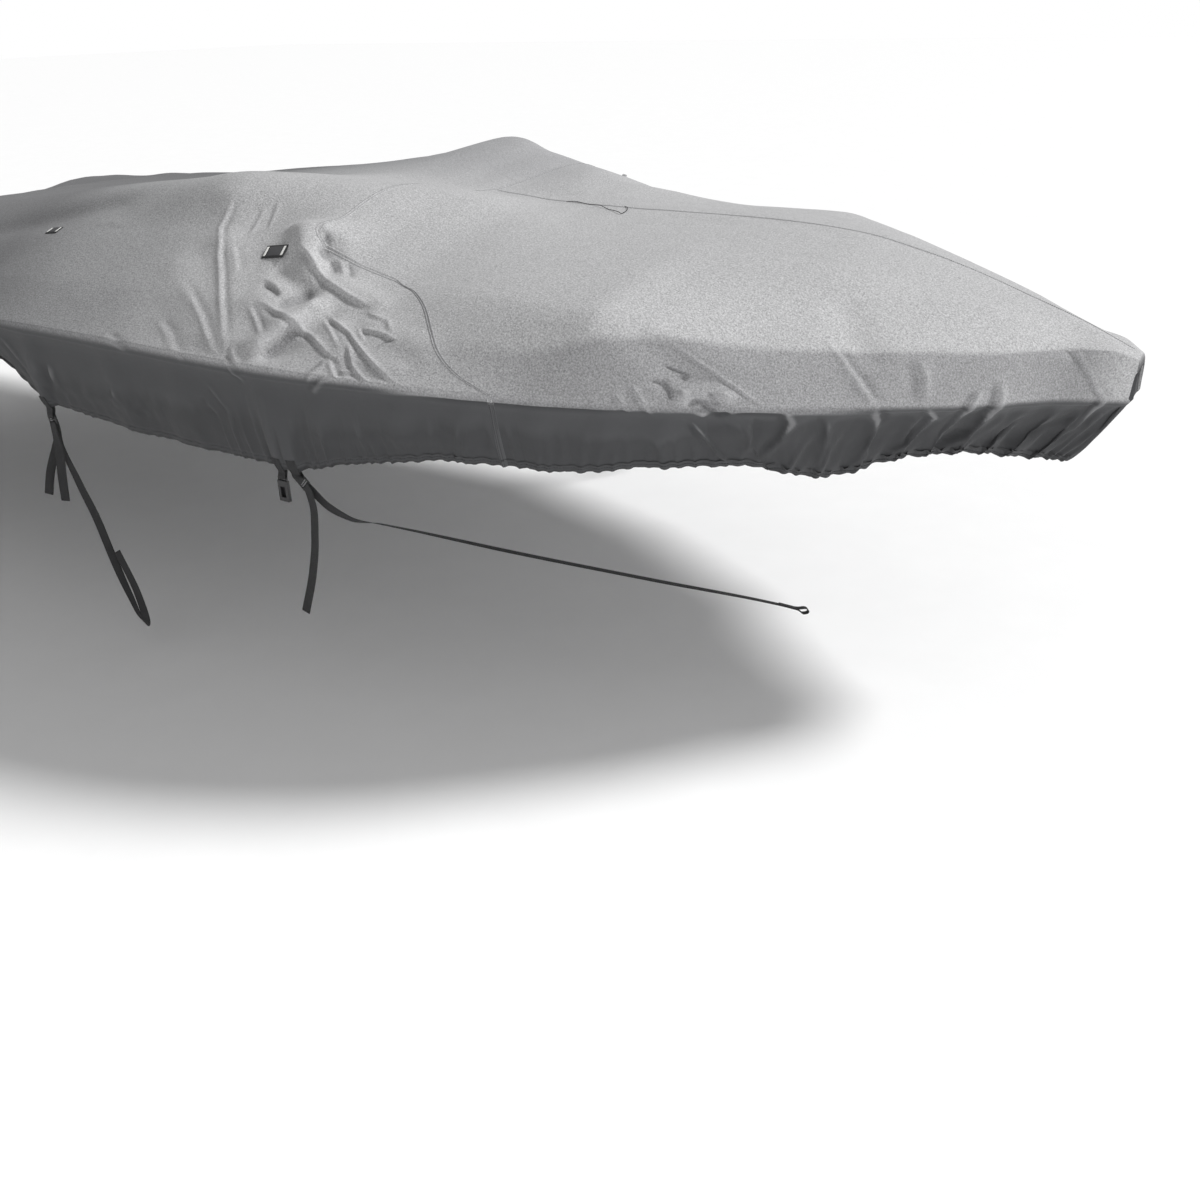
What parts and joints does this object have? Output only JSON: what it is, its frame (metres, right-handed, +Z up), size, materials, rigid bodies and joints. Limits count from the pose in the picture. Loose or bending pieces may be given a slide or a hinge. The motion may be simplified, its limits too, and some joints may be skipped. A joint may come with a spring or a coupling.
{
  "type": "fitted boat cover",
  "caption": "Fitted cloth cover draped over a small open boat's bow, windshield and stern, with a gathered elastic hem, webbing patches and tie-down straps",
  "frame": {"origin": "underside of the cover's top on the centreline, 2.20 m aft of the bow tip, where the cover is carried", "axes": "+X forward to the bow, +Y to port, +Z up"},
  "size_m": [5.4115, 2.3574, 1.2422],
  "materials": {
    "cloth": "matte coated polyester, light grey, finely woven",
    "webbing": "black flat-woven polypropylene webbing",
    "fitting": "black moulded acetal"
  },
  "bodies": {
    "root": {"fore_panel_starboard": "cloth", "fore_panel_port": "cloth", "aft_panel": "cloth", "patch_starboard_fore": "webbing", "patch_starboard_aft": "webbing", "patch_port_fore": "webbing", "patch_port_aft": "webbing", "tab_starboard_fore": "webbing", "tab_starboard_buckle": "webbing", "tab_starboard_aft": "webbing", "tab_port_fore": "webbing", "tab_port_aft": "webbing", "adjuster_starboard_fore": "fitting", "adjuster_starboard_aft": "fitting", "adjuster_port_fore": "fitting", "adjuster_port_aft": "fitting", "buckle_half": "fitting", "strap_starboard_fore": "webbing", "strap_starboard_aft": "webbing", "strap_port_fore": "webbing", "strap_port_aft": "webbing", "short_end": "webbing"}
  },
  "joints": []
}
